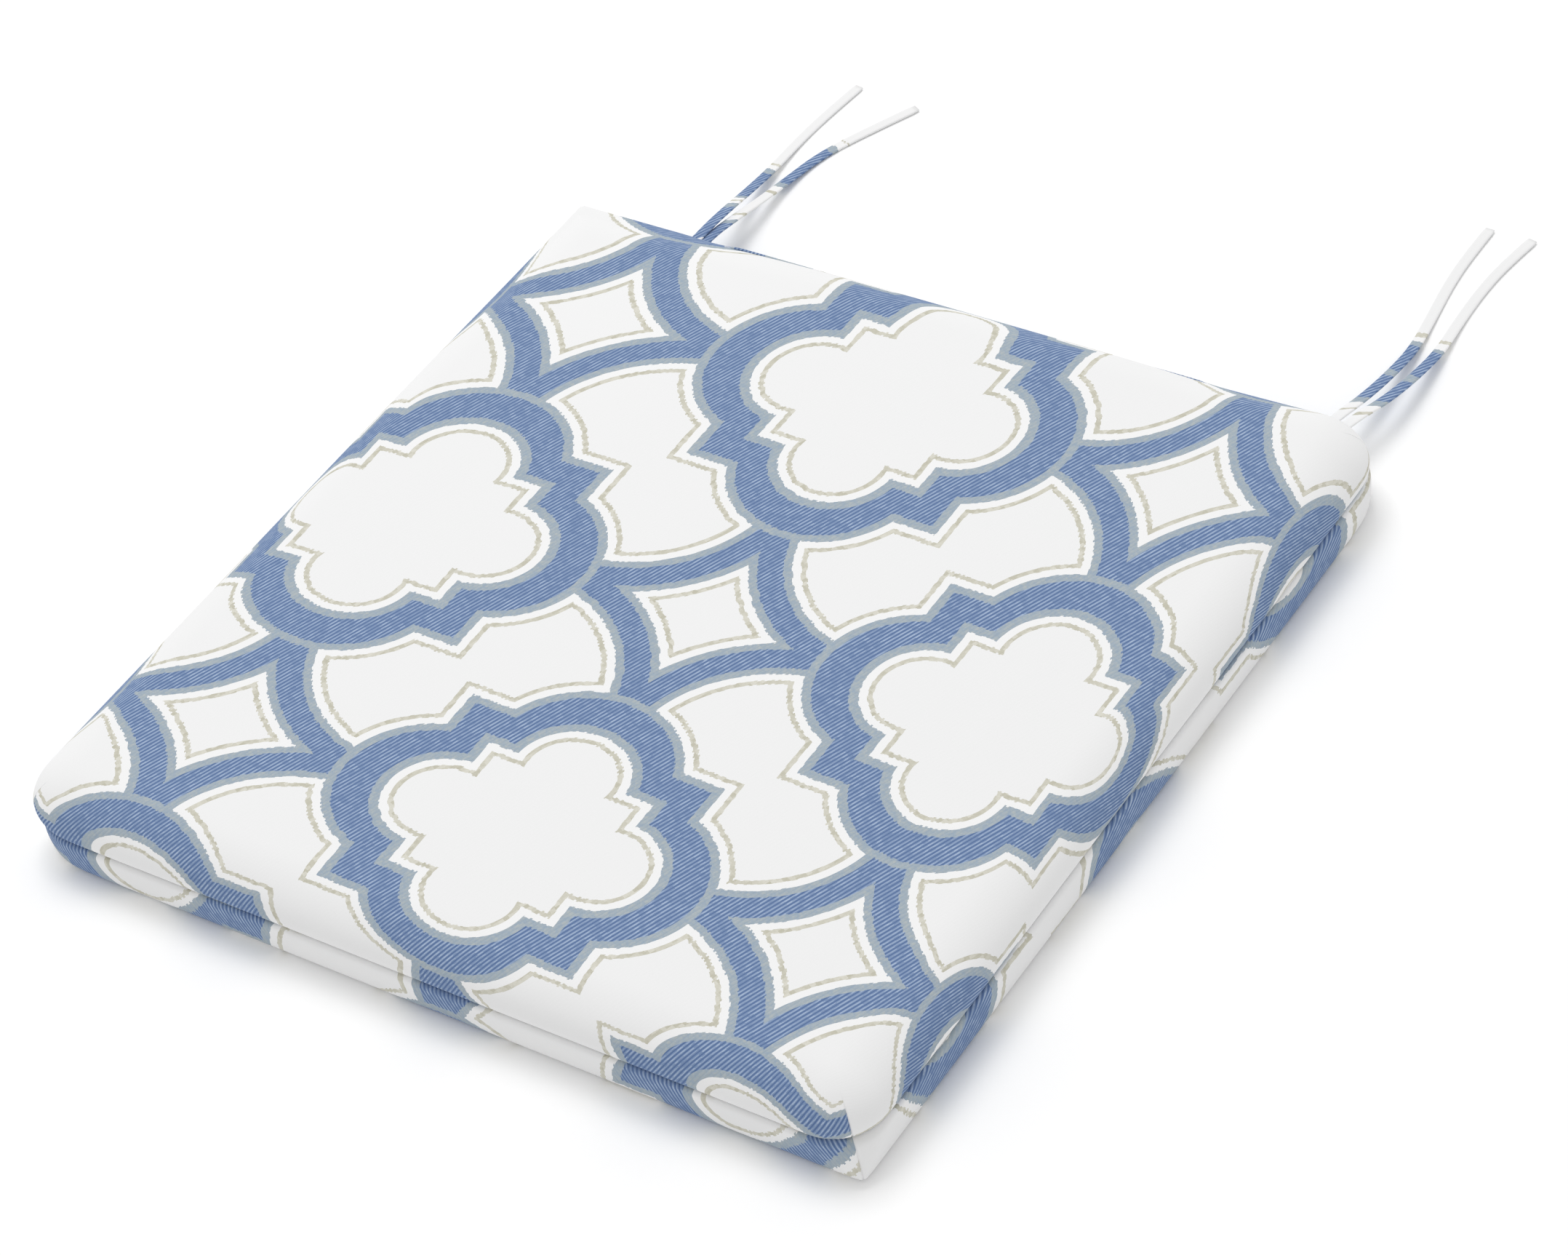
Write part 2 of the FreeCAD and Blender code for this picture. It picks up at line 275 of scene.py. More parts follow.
# Cloth colours. The deepest blue is painted shade in the twill's valleys, and the lightest blue is a painted
# highlight on its ridges. The darkest grey is partly painted valley shade and partly the print's own streaks.
BLUE_GROOVE_SHADE, BLUE_MID, BLUE_SHADE, BLUE_RIDGE_HIGHLIGHT = "556d98", "778db0", "6c83a9", "a9bad2"
GREY_COOL, GREY_WARM, GREY_STREAK_AND_SHADE = "9cabb9", "b1b8b9", "93a3b2"
BEIGE_DARK, BEIGE_LIGHT = "b5b29f", "dbd9cf"
GROUND, GAP = "ebebeb", "eeeeee"


def cloth_colour(tree, u, v, blue, grey, beige, gap):
    """The woven colours, from masks for blue, grey, beige and the white beside them, with painted shade in
    the twill's valleys and painted highlights on its ridges.
    """
    ca, sa = math.cos(TWILL_ANGLE), math.sin(TWILL_ANGLE)
    along = u * ca + v * sa
    across = v * ca - u * sa
    line = (across / TWILL_PITCH_MM).floor()
    stagger = random_value(line, line.constant(0.0), 3.0)
    ridge = across.wave(TWILL_PITCH_MM)
    bead = ((along + stagger * 7.0) / 2.3).floor()
    glint = random_value(line, bead, 5.0)
    mottle = noise(u, v, 0.45, 3.0)
    fine = noise(u, v, 1.6, 2.0, 9.0)
    # painted highlight: the twill's ridges, beaded with glints, lighter than the cloth
    crest_highlight = ((ridge - 0.55) * 3.2).high(0.0).low(1.0) * (glint * 1.1 + 0.1)
    # painted shade: the twill's valleys darker than the cloth
    groove_shade = ((0.38 - ridge) * 3.2).high(0.0).low(1.0) * (0.55 + fine * 0.7)
    shade = mix(tree, (fine * 0.8), BLUE_MID, BLUE_SHADE)
    shade = mix(tree, groove_shade, shade, BLUE_GROOVE_SHADE)
    shade = mix(tree, (crest_highlight * 0.85).low(1.0), shade, BLUE_RIDGE_HIGHLIGHT)
    warmth = ((mottle - 0.5) * 2.6 + (fine - 0.5) * 2.0 + 0.5).high(0.0).low(1.0)
    greyish = mix(tree, warmth, GREY_COOL, GREY_WARM)
    streak = random_value(line, ((along + stagger * 3.0) / 2.2).floor(), 8.0)
    # the grey darkened partly by painted shade in the twill's valleys and partly by real streaks
    greyish = mix(tree, groove_shade * 0.45 + streak * 0.25, greyish, GREY_STREAK_AND_SHADE)
    tan = mix(tree, (streak * 0.6 + fine * 0.5), BEIGE_DARK, BEIGE_LIGHT)
    plain = mix(tree, gap, GROUND, GAP)
    cloth = mix(tree, beige, plain, tan)
    cloth = mix(tree, grey, cloth, greyish)
    cloth = mix(tree, blue, cloth, shade)
    relief = ridge * 0.5 + glint * 0.12
    return cloth, relief, fine


def finish_cloth(tree, shader, cloth, relief, fine, coloured):
    """The cloth's surface: matt, a little rougher and ribbed where it is coloured."""
    tree.links.new(cloth, shader.inputs["Base Color"])
    rough = fine * 0.10 + coloured * 0.06 + 0.76
    feed(tree, shader.inputs["Roughness"], rough)
    shader.inputs["Sheen Weight"].default_value = 0.04
    shader.inputs["Sheen Roughness"].default_value = 0.5
    shader.inputs["Specular IOR Level"].default_value = 0.15
    height = relief * (coloured * 0.85 + 0.15) + fine * 0.15
    bump(tree, shader, height, 0.00018, 0.7)


def ragged(u, v):
    """The cloth position moved a little along its threads, so that drawn edges end thread by thread."""
    ca, sa = math.cos(TWILL_ANGLE), math.sin(TWILL_ANGLE)
    across = v * ca - u * sa
    strand = (across / THREAD_MM).floor()
    shift = (random_value(strand, strand.constant(0.0), 1.0) - 0.5) * RAGGED_MM
    return u + shift * ca, v + shift * sa


def quatrefoil(x, y, square, lobe_at, lobe_radius):
    """Distance outside the outline made of a square and four round lobes."""
    box = abs(x).high(abs(y)) - square
    east = length(abs(x) - lobe_at, y) - lobe_radius
    north = length(x, abs(y) - lobe_at) - lobe_radius
    return box.low(east).low(north)


def ramp_up(value, start, reach):
    """0 up to start, then rising steadily to 1 over that reach."""
    return ((value - start) / reach).high(0.0).low(1.0)


def print_position(u, v, upper):
    """The pattern's two lattice numbers at a place on the flat cut."""
    flat_u = u.low(PRINT_FLAT_MM).high(-PRINT_FLAT_MM)
    flat_v = v.low(PRINT_FLAT_MM).high(-PRINT_FLAT_MM)
    a, b = flat_u / PRINT_UNIT_MM, flat_v / PRINT_UNIT_MM
    i = (u - flat_u) * EDGE_RATE_ACROSS
    front_rate = flat_u * FRONT_RATE_GROWTH + FRONT_RATE[upper]
    front_rate = front_rate + ramp_up(u, PRINT_FLAT_MM, 20.0) * (CORNER_RATE[upper] - front_rate)
    j = (v - flat_v).low(0.0) * front_rate + (v - flat_v).high(0.0) * EDGE_RATE_BACK
    for power_a, power_b, across, along in PRINT_TERMS:
        term = a.constant(1.0)
        for factor in [a] * power_a + [b] * power_b:
            term = term * factor
        i, j = i + term * across, j + term * along
    near = v * -1.0
    front = (near - 185.0).high(0.0) / 41.0
    right = (u - 190.0).high(0.0) / 36.0
    # the print lags where the cloth turns down at the back and at the far right corner
    back_lag = ramp_up(v, PRINT_FLAT_MM, 12.0) * BACK_LAG
    far_lag = ramp_up(u, 195.0, 20.0) * ramp_up(v, 100.0, 40.0) * FAR_CORNER_LAG
    # the cloth is drawn round towards the darts of the near corner, and down the right side by it
    drawn = ramp_up(u, 172.0, 24.0) * ramp_up(near, 197.0, 22.0)
    beside = ramp_up(near, 60.0, 30.0) + ramp_up(near, 160.0, 20.0) * 2.0
    flank_lag = ramp_up(u, 190.0, 25.0) * beside * FLANK_LAG
    i = i - front * front * FRONT_BOW - far_lag - flank_lag - drawn * NEAR_CORNER_LAG
    j = j + right * right * (b * RIGHT_BOW_SLOPE + RIGHT_BOW) - back_lag + drawn * NEAR_CORNER_RISE
    return i, j


# Sizes in the pattern, in lattice steps: the quatrefoil's square, the middle of its lobes and their
# radius, outside and in its hole, then the rings, and the bands beside an edge
FOIL_OUTER = (0.425, 0.3145, 0.304)
FOIL_INNER = (0.2755, 0.2667, 0.1793)
FOIL_BORDER_OUTER, FOIL_BORDER_INNER = 0.028, 0.030
RING_RADIUS = 0.4977
RING_GREY_HALF, RING_BLUE_HALF = 0.0635, 0.038
GAP_BAND, BEIGE_BAND = 0.0255, 0.0415


def make_cover_material(upper):
    """The trellis print, with its border lines, for the upper or the lower panel."""
    material, tree, shader = new_material("printed_cotton_top" if upper else "printed_cotton_bottom")
    u, v = uv_fields(tree)
    ru, rv = ragged(u, v)
    i, j = print_position(ru, rv, upper)
    # nearest quatrefoil centre
    a, b = i + j, i - j
    a = a - (a / 2.0).floor() * 2.0 - 1.0
    b = b - (b / 2.0).floor() * 2.0 - 1.0
    x, y = (a + b) / 2.0, (a - b) / 2.0
    outer = quatrefoil(x, y, *FOIL_OUTER)
    inner = quatrefoil(x, y, *FOIL_INNER)
    # nearest ring centres
    p, q = i - i.floor() - 0.5, j - j.floor() - 0.5
    here = length(p, q)
    beside = length(1.0 - abs(p), q)
    beyond = length(p, 1.0 - abs(q))

    def rings(half_width):
        fields = [abs(r - RING_RADIUS) - half_width for r in (here, beside, beyond)]
        return fields[0].low(fields[1]).low(fields[2])

    ring_grey = rings(RING_GREY_HALF)
    ring_blue = rings(RING_BLUE_HALF)
    in_foil = outer.below(0.0)
    in_hole = inner.below(0.0)
    foil_blue = outer.below(-FOIL_BORDER_OUTER) * inner.above(FOIL_BORDER_INNER)
    foil_any = in_foil * (1.0 - in_hole)
    open_field = 1.0 - in_foil
    blue = foil_blue + open_field * ring_blue.below(0.0)
    grey = (foil_any + open_field * ring_grey.below(0.0)).low(1.0)
    away = in_hole * (inner * -1.0) + open_field * outer.low(ring_grey)
    ground = 1.0 - grey
    beige = ground * away.above(GAP_BAND) * away.below(BEIGE_BAND)
    gap = ground * away.below(GAP_BAND)
    cloth, relief, fine = cloth_colour(tree, u, v, blue, grey, beige, gap)
    finish_cloth(tree, shader, cloth, relief, fine, grey)
    return material


cover_materials = {upper: make_cover_material(upper) for upper in (True, False)}

# -------------------- meshes


def new_piece(name, points, loops, material, unit=1.0, cuts=None):
    """A mesh object from points in that unit, with each corner's place on the flat cut as a UV."""
    mesh = bpy.data.meshes.new(name)
    mesh.from_pydata([tuple(c * unit for c in p) for p in points], [], loops)
    if cuts:
        layer = mesh.uv_layers.new(name="cut")
        layer.data.foreach_set("uv", [c for flat in cuts for pair in flat for c in pair])
    mesh.polygons.foreach_set("use_smooth", [True] * len(mesh.polygons))
    mesh.materials.append(material)
    piece = bpy.data.objects.new(name, mesh)
    bpy.context.scene.collection.objects.link(piece)
    return piece


# -------------------- shape of the pad

HALF_MM = 202.0
SEAM_Z_MM = 18.5
SHOULDER_Z_MM = 35.5
CROWN_MM = 2.5
EDGE_REACH_MM = 23.0
EDGE_DROP_MM = SHOULDER_Z_MM - SEAM_Z_MM
FACE_HALF_MM = HALF_MM - EDGE_REACH_MM
CUT_HALF_MM = 226.5     # the seam in the print's coordinates, more than the cloth's own length
BOTTOM_RADIUS_MM = 5.0
ALLOWANCE_MM = 6.0
FABRIC_MM = 0.9
SEAM_DROP_MM = 1.1
SLUMP_MM = 6.2
SLUMP_REACH_MM = 95.0
SLUMP_SHIFT_MM = (2.2, 1.6)
CORNER_SHORTCUT = 0.2146    # what a rounded corner saves of the way round it, as a share of its radius
DIMPLE_MM = 2.4
CREASE_MM = 0.9
TUCK_MM = 1.4
SEAM_GAP_MM = 0.38
TUCK_REACH_MM = 2.2
TUCK_CUTS_MM = (224.0, 225.3)

# Where a place on the lower panel's net lies on its print: the first row in the second row's terms
UNDER_PRINT_MM = ((0.0, 198.7, 226.5), (0.0, 201.3, 221.0))

# Plan radius of each corner above the seam, at it and at the underside, by the signs of X and Y
UPPER_CORNER = {(-1, -1): 26.0, (1, -1): 21.5, (1, 1): 28.0, (-1, 1): 3.0}
SEAM_CORNER = {(-1, -1): 34.0, (1, -1): 21.5, (1, 1): 31.0, (-1, 1): 3.0}
UNDER_CORNER = {(-1, -1): 33.0, (1, -1): 2.0, (1, 1): 34.0, (-1, 1): 5.0}

FACE_RINGS, EDGE_RINGS = 32, 18
RINGS = FACE_RINGS + EDGE_RINGS
FACE_CUT_MM = 175.0
DART_START_MM = 192.0

ZIP_HALF_MM = 122.0
ZIP_SLOT_HALF_MM = 3.9
TIE_X_MM = (-143.0, -137.0, 166.0, 174.0)


def ring_cuts():
    """Distance on the flat cut from the panel's middle to each ring of its mesh."""
    face = np.linspace(0, FACE_CUT_MM, FACE_RINGS + 1)
    edge = np.linspace(FACE_CUT_MM, TUCK_CUTS_MM[0] - 1.5, EDGE_RINGS - 2)
    return np.concatenate([face, edge[1:], TUCK_CUTS_MM, [CUT_HALF_MM]])


def tucked(cut, half, z, s):
    """A profile's columns, started from the panel's middle and drawn in where it meets the seam."""
    tuck = np.clip(1 - (s[-1] - s) / TUCK_REACH_MM, 0, 1)
    half = half - TUCK_MM * tuck ** 2
    return np.concatenate([[0], cut]), np.concatenate([[0], half]), np.concatenate([[z[0]], z])


def top_profile():
    """Half-width and height of the top panel against the distance on its flat cut."""
    turn = np.linspace(0, math.pi / 2, 400)
    half = FACE_HALF_MM + EDGE_REACH_MM * np.sin(turn)
    z = SEAM_Z_MM + EDGE_DROP_MM * np.cos(turn)
    step = np.hypot(np.diff(half), np.diff(z))
    s = np.concatenate([[0], np.cumsum(step)])
    gathered = (CUT_HALF_MM - FACE_HALF_MM - s[-1]) * (s / s[-1]) ** 1.6
    return tucked(FACE_HALF_MM + s + gathered, half, z, s)


def bottom_profile():
    """The same for the bottom panel, from the middle of the underside up to the seam."""
    r = BOTTOM_RADIUS_MM
    turn = np.linspace(0, math.pi / 2, 100)
    half = HALF_MM - r + r * np.sin(turn)
    z = r - r * np.cos(turn)
    rise = np.linspace(0, 1, 200)[1:]
    half = np.concatenate([half, HALF_MM + 0.5 * np.sin(rise * math.pi)])
    z = np.concatenate([z, r + (SEAM_Z_MM - r) * rise])
    s = np.concatenate([[0], np.cumsum(np.hypot(np.diff(half), np.diff(z)))])
    return tucked(CUT_HALF_MM + 1.3 * (s - s[-1]), half, z, s)


def ring_point(reach, half, radius):
    """A point of one eighth of a rounded square ring, that far along it from the middle of a side."""
    straight = half - radius
    if reach <= straight or radius < 1e-6:
        return min(reach, half), half
    turn = (reach - straight) / radius
    return straight + radius * math.sin(turn), straight + radius * math.cos(turn)


def share_of(value, start, reach):
    """0 up to start, then rising steadily to 1 over that reach."""
    return min(max((value - start) / reach, 0.0), 1.0)


def seam_wave(x, y):
    """How far the seam wanders up and down round the pad. It sits a little low at the front and sides."""
    away_from_back = share_of(-y, -150.0, 100.0)
    return 0.35 * math.sin(x / 31.0 + 0.6) * math.cos(y / 47.0) - SEAM_DROP_MM * away_from_back


def settled(x, y, z):
    """The slump of the back left corner, the wander of the back edge, and a dimple past each zip end."""
    above = share_of(z - SEAM_Z_MM, 5.0, 8.0)
    slump = above * math.exp(-(math.hypot(x + HALF_MM, y - HALF_MM) / SLUMP_REACH_MM) ** 2.5)
    edge = share_of(y, 120.0, 80.0) * above
    dip = 1.3 * math.exp(-((x - 178.0) / 18.0) ** 2) - 1.6 * math.exp(-((x - 117.0) / 25.0) ** 2)
    past_zip = share_of(abs(x), 119.0, 4.0) * share_of(-abs(x), -143.0, 8.0)
    dimple = DIMPLE_MM * past_zip * math.exp(-((z - SEAM_Z_MM) / 4.5) ** 2) if y > 190 else 0.0
    shift_x, shift_y = SLUMP_SHIFT_MM
    return x - shift_x * slump, y - shift_y * slump - dimple, z - SLUMP_MM * slump + edge * dip


def opening(x, y):
    """How far the two panels part at the back: wide at the zip, a little at the ties."""
    if y < 150:
        return SEAM_GAP_MM
    at_zip = share_of(-abs(x), -ZIP_HALF_MM - 1.0, 3.0)
    at_tie = max(math.exp(-((x - t) / 4.0) ** 4) for t in TIE_X_MM)
    return SEAM_GAP_MM + (ZIP_SLOT_HALF_MM - SEAM_GAP_MM) * at_zip + 0.45 * at_tie


def panel_rings(upper):
    """Each ring's cut position, half-width and height, and the ring where the darts start."""
    cuts = ring_cuts()
    cut_axis, half_axis, z_axis = top_profile() if upper else bottom_profile()
    halves = np.interp(cuts, cut_axis, half_axis)
    heights = np.interp(cuts, cut_axis, z_axis)
    dart = int(np.searchsorted(cuts, DART_START_MM))
    return cuts, halves, heights, dart


def corner_radius(upper, corner, half, z):
    """Plan radius of one corner of a ring, blended between the face, the seam and the underside."""
    seam = SEAM_CORNER[corner]
    if upper:
        pinch = min(max(1 - (z - SEAM_Z_MM) / 6.0, 0.0), 1.0) ** 2
        bulge = UPPER_CORNER[corner]
        return max(bulge + (seam - bulge) * pinch - (HALF_MM - half), 0.0)
    under = UNDER_CORNER[corner]
    if half < HALF_MM - BOTTOM_RADIUS_MM:
        return max(under - (HALF_MM - half), 0.0)
    rise = min(max(z / SEAM_Z_MM, 0.0), 1.0)
    return max(under + (seam - under) * rise ** 1.3, 0.0)


class Panel:
    """One dished cover panel as a square net of rings, each corner closed by a dart."""

    def __init__(self, upper):
        self.upper = upper
        self.cuts, self.halves, self.heights, self.dart = panel_rings(upper)
        self.index = {}
        self.points = []
        for i in range(-RINGS, RINGS + 1):
            for j in range(-RINGS, RINGS + 1):
                self.index[i, j] = len(self.points)
                self.points.append(self.place(i, j))

    def last_cut(self, k, corner):
        """Where the cloth's edge lies on the dart, along a side, in ring k."""
        if k <= self.dart:
            return self.cuts[k]
        seam = SEAM_CORNER[corner]
        end = HALF_MM - CORNER_SHORTCUT * seam
        start = self.cuts[self.dart]
        return start + (end - start) * (k - self.dart) / (RINGS - self.dart)

    def cut_along(self, n, k, corner):
        """The cut position along a side of ring k of its n-th point from the middle."""
        if n <= self.dart or k <= self.dart:
            return self.cuts[n]
        start = self.cuts[self.dart]
        return start + (self.last_cut(k, corner) - start) * (n - self.dart) / (k - self.dart)

    def place(self, i, j):
        k = max(abs(i), abs(j))
        if k == 0:
            return self.raised(0.0, 0.0, self.heights[0], 0)
        corner = (1 if i >= 0 else -1, 1 if j >= 0 else -1)
        n = min(abs(i), abs(j))
        half, z = self.halves[k], self.heights[k]
        radius = corner_radius(self.upper, corner, half, z)
        along = self.cut_along(n, k, corner)
        end = self.last_cut(k, corner)
        natural = half - CORNER_SHORTCUT * radius
        relax = max(0.0, along - 0.7 * end) / (0.3 * end)
        reach = along + (natural - end) * relax ** 2
        minor, major = ring_point(reach, half, radius)
        if abs(i) >= abs(j):
            x, y = corner[0] * major, corner[1] * minor
        else:
            x, y = corner[0] * minor, corner[1] * major
        if n == k and k > self.dart:
            crease = CREASE_MM * min((k - self.dart) / 4.0, 1.0) / math.sqrt(2)
            x, y = x - corner[0] * crease, y - corner[1] * crease
        return self.raised(x, y, z, k)

    def raised(self, x, y, z, k):
        """The crown on the face, the seam's wander and the opening at the back."""
        if self.upper:
            if k <= FACE_RINGS + 3:
                across = max(1 - (x / FACE_HALF_MM) ** 2, 0.0)
                along = max(1 - (y / FACE_HALF_MM) ** 2, 0.0)
                z += CROWN_MM * across * along
            near_seam = max(0.0, 1 - (z - SEAM_Z_MM) / 10.0) ** 2
            z += near_seam * (seam_wave(x, y) + opening(x, y))
        else:
            near_seam = max(0.0, 1 - (SEAM_Z_MM - z) / 10.0) ** 2
            z += near_seam * (seam_wave(x, y) - opening(x, y))
        return settled(x, y, z)

    def cut_of(self, i, j, side):
        """Flat cut position of a net point, as it is on that side of the pad: 'x' or 'y'."""
        k = max(abs(i), abs(j))
        corner = (1 if i >= 0 else -1, 1 if j >= 0 else -1)
        u, v = self.cuts[abs(i)], self.cuts[abs(j)]
        if k > self.dart and side == "x":
            u, v = self.cuts[k], self.cut_along(abs(j), k, corner)
        elif k > self.dart:
            u, v = self.cut_along(abs(i), k, corner), self.cuts[k]
        return corner[0] * self.printed(u), corner[1] * self.printed(v)

    def printed(self, cut):
        """The bottom panel was cut a little smaller and has less ease round its edge."""
        return cut if self.upper else float(np.interp(cut, *UNDER_PRINT_MM))

    def faces(self):
        """Faces of the net, each with the side of the pad that its cut positions belong to."""
        made = []
        for i in range(-RINGS, RINGS):
            for j in range(-RINGS, RINGS):
                ring = [(i, j), (i + 1, j), (i + 1, j + 1), (i, j + 1)]
                on_diagonal = i == j or i == -j - 1
                k = max(max(abs(a), abs(b)) for a, b in ring)
                if on_diagonal and k > self.dart:
                    first, second = (ring[:3], [ring[0], ring[2], ring[3]])
                    if i == -j - 1:
                        first, second = ([ring[0], ring[1], ring[3]], ring[1:])
                    for piece in (first, second):
                        made.append((piece, self.side_of(piece)))
                else:
                    made.append((ring, self.side_of(ring)))
        return made

    @staticmethod
    def side_of(piece):
        x = sum(abs(a) for a, b in piece)
        y = sum(abs(b) for a, b in piece)
        return "x" if x > y else "y"


def rim(n):
    """The net points round the last ring, in order, once round."""
    path = [(i, -n) for i in range(-n, n)]
    path += [(n, j) for j in range(-n, n)]
    path += [(i, n) for i in range(n, -n, -1)]
    path += [(-n, j) for j in range(n, -n, -1)]
    return path


LIP_CUT_STEP_MM = 1.5


def lip_offsets(upper, x, y):
    """Where the turned-in allowance goes from the seam: inward distances and heights."""
    sign = 1 if upper else -1
    at_zip = abs(x) < ZIP_HALF_MM and y > 150
    if at_zip:
        return ((1.2, 0.0), (2.9, 0.3 * sign), (3.0, 2.6 * sign), (3.0, 4.8 * sign))
    return ((1.2, 0.0), (2.6, 0.0), (4.2, 0.05 * sign), (ALLOWANCE_MM, 0.1 * sign))


def build_panel(name, upper):
    """A cover panel's mesh, with its turned-in allowance and its places on the flat cut as UVs."""
    panel = Panel(upper)
    points = list(panel.points)
    loops, cuts = [], []
    for piece, side in panel.faces():
        loops.append([panel.index[p] for p in piece])
        cuts.append([panel.cut_of(*p, side) for p in piece])
    path = rim(RINGS)
    count = len(path)
    rows = []
    for (i, j) in path:
        x, y, z = panel.points[panel.index[i, j]]
        # away from the pad along the side's normal, turning with the rounded corners
        corner = (1 if i >= 0 else -1, 1 if j >= 0 else -1)
        radius = SEAM_CORNER[corner]
        cx = max(abs(x) - (HALF_MM - radius - 1.0), 0.0)
        cy = max(abs(y) - (HALF_MM - radius - 1.0), 0.0)
        if abs(i) == RINGS and abs(j) < RINGS:
            cx = max(cx, 1e-3)
        away = Vector((math.copysign(cx, x), math.copysign(cy, y)))
        if away.length < 1e-6:
            away = Vector((0, y)) if abs(j) == RINGS else Vector((x, 0))
        away.normalize()
        rows.append([(x - away.x * d, y - away.y * d, z + h) for d, h in lip_offsets(upper, x, y)])
    depth = len(rows[0])
    base = len(points)
    for row in rows:
        points.extend(row)

    def at(n, d):
        n %= count
        return panel.index[path[n]] if d == 0 else base + n * depth + d - 1

    for n in range(count):
        i, j = path[n]
        i2, j2 = path[(n + 1) % count]
        side = Panel.side_of([(i, j), (i2, j2)])
        for d in range(depth):
            loops.append([at(n, d), at(n, d + 1), at(n + 1, d + 1), at(n + 1, d)])
            flat = []
            for (a, b), step in (((i, j), d), ((i, j), d + 1), ((i2, j2), d + 1), ((i2, j2), d)):
                u, v = panel.cut_of(a, b, side)
                beyond = LIP_CUT_STEP_MM * step
                if side == "x":
                    u += math.copysign(beyond, u)
                else:
                    v += math.copysign(beyond, v)
                flat.append((u, v))
            cuts.append(flat)
    piece = new_piece(name, points, loops, cover_materials[upper], MM, cuts)
    if not upper:
        piece.data.flip_normals()
    piece.data.validate()
    return piece, panel


def finish_panel(piece):
    """Smooths the panel and gives it the cloth's thickness."""
    piece.modifiers.new("subdivide", "SUBSURF").render_levels = 1
    solid = piece.modifiers.new("thickness", "SOLIDIFY")
    solid.thickness = FABRIC_MM * MM
    solid.offset = -1.0
    solid.use_even_offset = False
    graph = bpy.context.evaluated_depsgraph_get()
    mesh = bpy.data.meshes.new_from_object(piece.evaluated_get(graph))
    flat = piece.data
    piece.modifiers.clear()
    piece.data = mesh
    bpy.data.meshes.remove(flat)
    mesh.name = piece.name
    mesh.polygons.foreach_set("use_smooth", [True] * len(mesh.polygons))


# How firmly the cloth is pinned on the face and at the edge, the most that it may move, in metres,
# the pressure inside, and how many frames it is given
HELD_FACE, HELD_EDGE = 0.9, 0.25
SWELL_CAP = 0.0022
SWELL_PRESSURE = 4.0
SWELL_FRAMES = 20


def swell(piece, panel):
    """A short cloth simulation against the pressure inside. It settles the panel by a tenth of a
    millimetre at most, because the panel's own shape is near its resting one."""
    mesh = piece.data
    rest = np.empty(len(mesh.vertices) * 3)
    mesh.vertices.foreach_get("co", rest)
    rest = rest.reshape(-1, 3)
    group = piece.vertex_groups.new(name="held")
    ring_of = [RINGS] * len(mesh.vertices)
    for (i, j), n in panel.index.items():
        ring_of[n] = max(abs(i), abs(j))
    for n, k in enumerate(ring_of):
        if k >= RINGS - 1:
            hold = 1.0
        elif k < FACE_RINGS - 6:
            hold = HELD_FACE
        else:
            hold = HELD_EDGE
        group.add([n], hold, "REPLACE")
    cloth = piece.modifiers.new("swell", "CLOTH")
    settings = cloth.settings
    settings.quality = 6
    settings.mass = 0.3
    settings.tension_stiffness = settings.compression_stiffness = 12.0
    settings.shear_stiffness = 6.0
    settings.bending_stiffness = 0.4
    settings.use_pressure = True
    settings.uniform_pressure_force = SWELL_PRESSURE
    settings.vertex_group_mass = "held"
    settings.effector_weights.gravity = 0.0
    cloth.point_cache.frame_start = 1
    cloth.point_cache.frame_end = SWELL_FRAMES
    for frame_number in range(1, SWELL_FRAMES + 1):
        bpy.context.scene.frame_set(frame_number)
    graph = bpy.context.evaluated_depsgraph_get()
    blown = bpy.data.meshes.new_from_object(piece.evaluated_get(graph))
    moved = np.empty(len(blown.vertices) * 3)
    blown.vertices.foreach_get("co", moved)
    bpy.data.meshes.remove(blown)
    piece.modifiers.clear()
    bpy.context.scene.frame_set(1)
    shift = moved.reshape(-1, 3) - rest
    reach = np.linalg.norm(shift, axis=1, keepdims=True)
    shift *= np.minimum(1.0, SWELL_CAP / np.maximum(reach, 1e-9))
    moved = rest + shift
    moved[:, 2] = np.maximum(moved[:, 2], 0.0)
    mesh.vertices.foreach_set("co", moved.ravel())
    mesh.update()
    panel.points = [tuple(p / MM) for p in moved[:len(panel.points)]]


top_cover, top_panel = build_panel("cover_top", True)
bottom_cover, bottom_panel = build_panel("cover_bottom", False)
swell(top_cover, top_panel)
swell(bottom_cover, bottom_panel)
for piece in (top_cover, bottom_cover):
    finish_panel(piece)
    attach(piece, "pad")
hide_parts("cover_top_panel")
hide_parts("cover_bottom_panel")

# -------------------- foam slab

FOAM_HALF_MM = 193.5
FOAM_TOP_MM = 33.2
FOAM_BASE_MM = 1.6
FOAM_EDGE_MM = 21.0
FOAM_CORNER_MM = 36.0


def make_foam_material():
    material, tree, shader = new_material("cream_foam")
    x, y, z = object_fields(tree)
    cells = tree.nodes.new("ShaderNodeTexVoronoi")
    cells.inputs["Scale"].default_value = 1.4
    tree.links.new(vector(x, y, z), cells.inputs["Vector"])
    pore = Field(tree, cells.outputs["Distance"])
    # painted shade: the pits of the cells darker, over a random cream tone
    colour = mix(tree, noise(x, y, 0.06, 3.0) * 0.7 + pore * 0.3, "efe3bf", "f7efd6")
    tree.links.new(colour, shader.inputs["Base Color"])
    shader.inputs["Roughness"].default_value = 0.95
    bump(tree, shader, pore, 0.0004)
    return material


